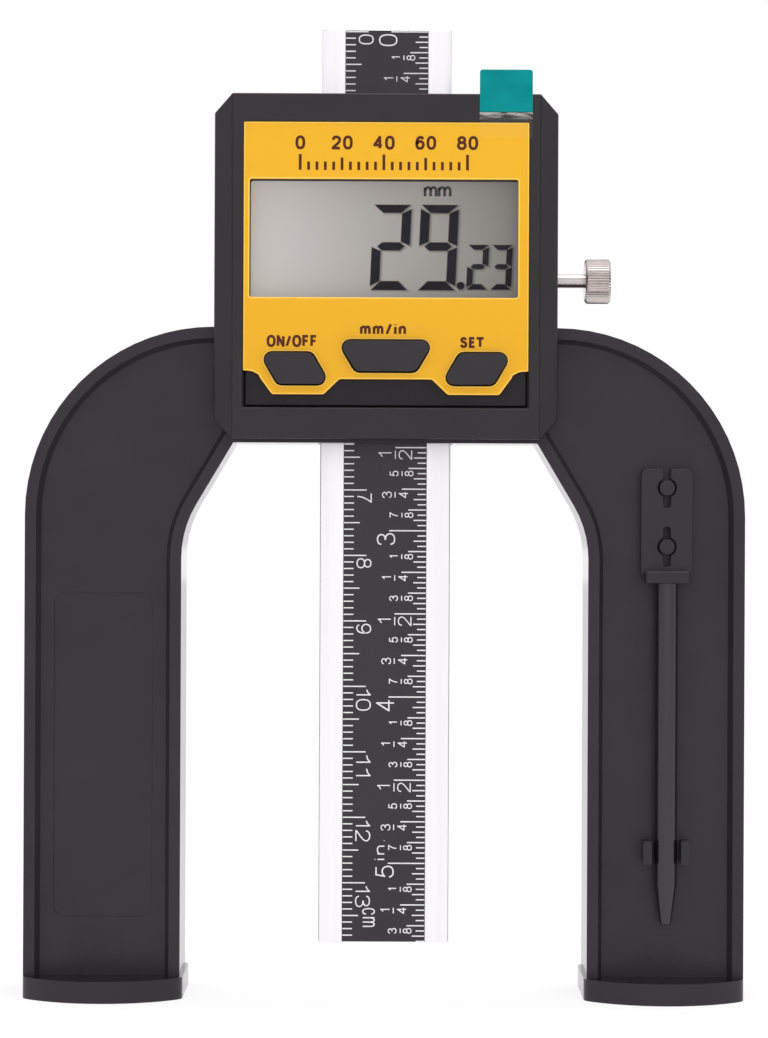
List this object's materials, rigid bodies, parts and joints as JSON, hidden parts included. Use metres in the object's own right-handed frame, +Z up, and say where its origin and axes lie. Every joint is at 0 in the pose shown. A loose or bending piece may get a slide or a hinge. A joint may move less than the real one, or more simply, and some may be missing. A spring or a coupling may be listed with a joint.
{
  "type": "digital depth gauge",
  "caption": "Arch-shaped digital depth and height gauge: a display head on a black bridge with magnetic feet, and a graduated steel rule that slides through it.",
  "frame": {"origin": "on the surface that the feet stand on, in the middle of the part", "axes": "+Z up along the rule, -Y out of the display face, +X to the right of someone facing the display"},
  "size_m": [0.109, 0.025, 0.1474],
  "materials": {
    "black_plastic": "moulded black ABS, satin",
    "button_plastic": "moulded black ABS, fine texture",
    "chip_black": "epoxy black",
    "yellow_plastic": "printed yellow face, satin gloss",
    "clear_plastic": "clear acrylic pane",
    "clear_film": "clear protective film",
    "teal_film": "teal pull tab",
    "lcd_glass": "grey reflective liquid crystal display",
    "connector_rubber": "striped contact rubber",
    "board_green": "solder mask",
    "nickel_plate": "nickel plate, turned",
    "zinc_steel": "zinc-plated steel",
    "bronze": "spring bronze",
    "brass": "turned brass",
    "rule_steel": "ground stainless steel, bright",
    "scale_black": "black printed scale strip"
  },
  "bodies": {
    "root": {"arch_body": "black_plastic", "head_shell": "black_plastic", "rear_cover": "black_plastic", "face_plate": "yellow_plastic", "display_window": "clear_plastic", "lcd_panel": "lcd_glass", "lcd_connector_lower": "connector_rubber", "lcd_connector_upper": "connector_rubber", "circuit_board": "board_green", "controller_chip": "chip_black", "switch_power": "nickel_plate", "switch_units": "nickel_plate", "switch_set": "nickel_plate", "guide_spring": "bronze", "lock_insert": "brass", "battery_cell": "nickel_plate", "contact_negative": "bronze", "contact_positive": "bronze", "protective_film": "clear_film", "film_tab": "teal_film", "cover_screw_1": "zinc_steel", "cover_screw_2": "zinc_steel", "cover_screw_3": "zinc_steel", "cover_screw_4": "zinc_steel", "board_screw_1": "zinc_steel", "board_screw_2": "zinc_steel", "board_screw_3": "zinc_steel", "board_screw_4": "zinc_steel", "foot_magnet_1": "nickel_plate", "foot_magnet_2": "nickel_plate", "foot_magnet_3": "nickel_plate", "foot_magnet_4": "nickel_plate"},
    "rule": {"rule_beam": "rule_steel", "scale_strip": "scale_black", "stop_pin_upper": "nickel_plate", "stop_pin_lower": "nickel_plate"},
    "power_button": {"button_power": "button_plastic", "plunger_power": "chip_black"},
    "units_button": {"button_units": "button_plastic", "plunger_units": "chip_black"},
    "set_button": {"button_set": "button_plastic", "plunger_set": "chip_black"},
    "lock_pad_body": {"lock_pad": "brass"},
    "lock_screw_body": {"lock_screw": "nickel_plate"},
    "battery_hatch": {"battery_cover": "black_plastic"},
    "probe": {"depth_probe": "black_plastic"}
  },
  "joints": [
    {"name": "rule_slide", "type": "slide", "parent": "root", "child": "rule", "axis": [0, 0, 1], "range_m": [-0.0079, 0.0721]},
    {"name": "power_press", "type": "slide", "parent": "root", "child": "power_button", "axis": [0, 1, 0], "range_m": [0, 0.0004], "stiffness_N_per_m": 1200},
    {"name": "units_press", "type": "slide", "parent": "root", "child": "units_button", "axis": [0, 1, 0], "range_m": [0, 0.0004], "stiffness_N_per_m": 1200},
    {"name": "set_press", "type": "slide", "parent": "root", "child": "set_button", "axis": [0, 1, 0], "range_m": [0, 0.0004], "stiffness_N_per_m": 1200},
    {"name": "lock_slide", "type": "slide", "parent": "root", "child": "lock_pad_body", "axis": [1, 0, 0], "range_m": [-0.00028, 0.0018]},
    {"name": "lock_turn", "type": "hinge", "parent": "lock_pad_body", "child": "lock_screw_body", "pos_m": [0.0283, 0, 0.1092], "axis": [1, 0, 0], "range_deg": [-220.5, 1440.5]},
    {"name": "battery_cover_slide", "type": "slide", "parent": "root", "child": "battery_hatch", "axis": [0, 0, -1], "range_m": [0, 0.029]},
    {"name": "probe_lift", "type": "slide", "parent": "root", "child": "probe", "axis": [0, -1, 0], "range_m": [0, 0.02]}
  ],
  "couplings": [
    {"joint": "lock_turn", "follows": "lock_slide", "rad_per_m": 13963}
  ]
}
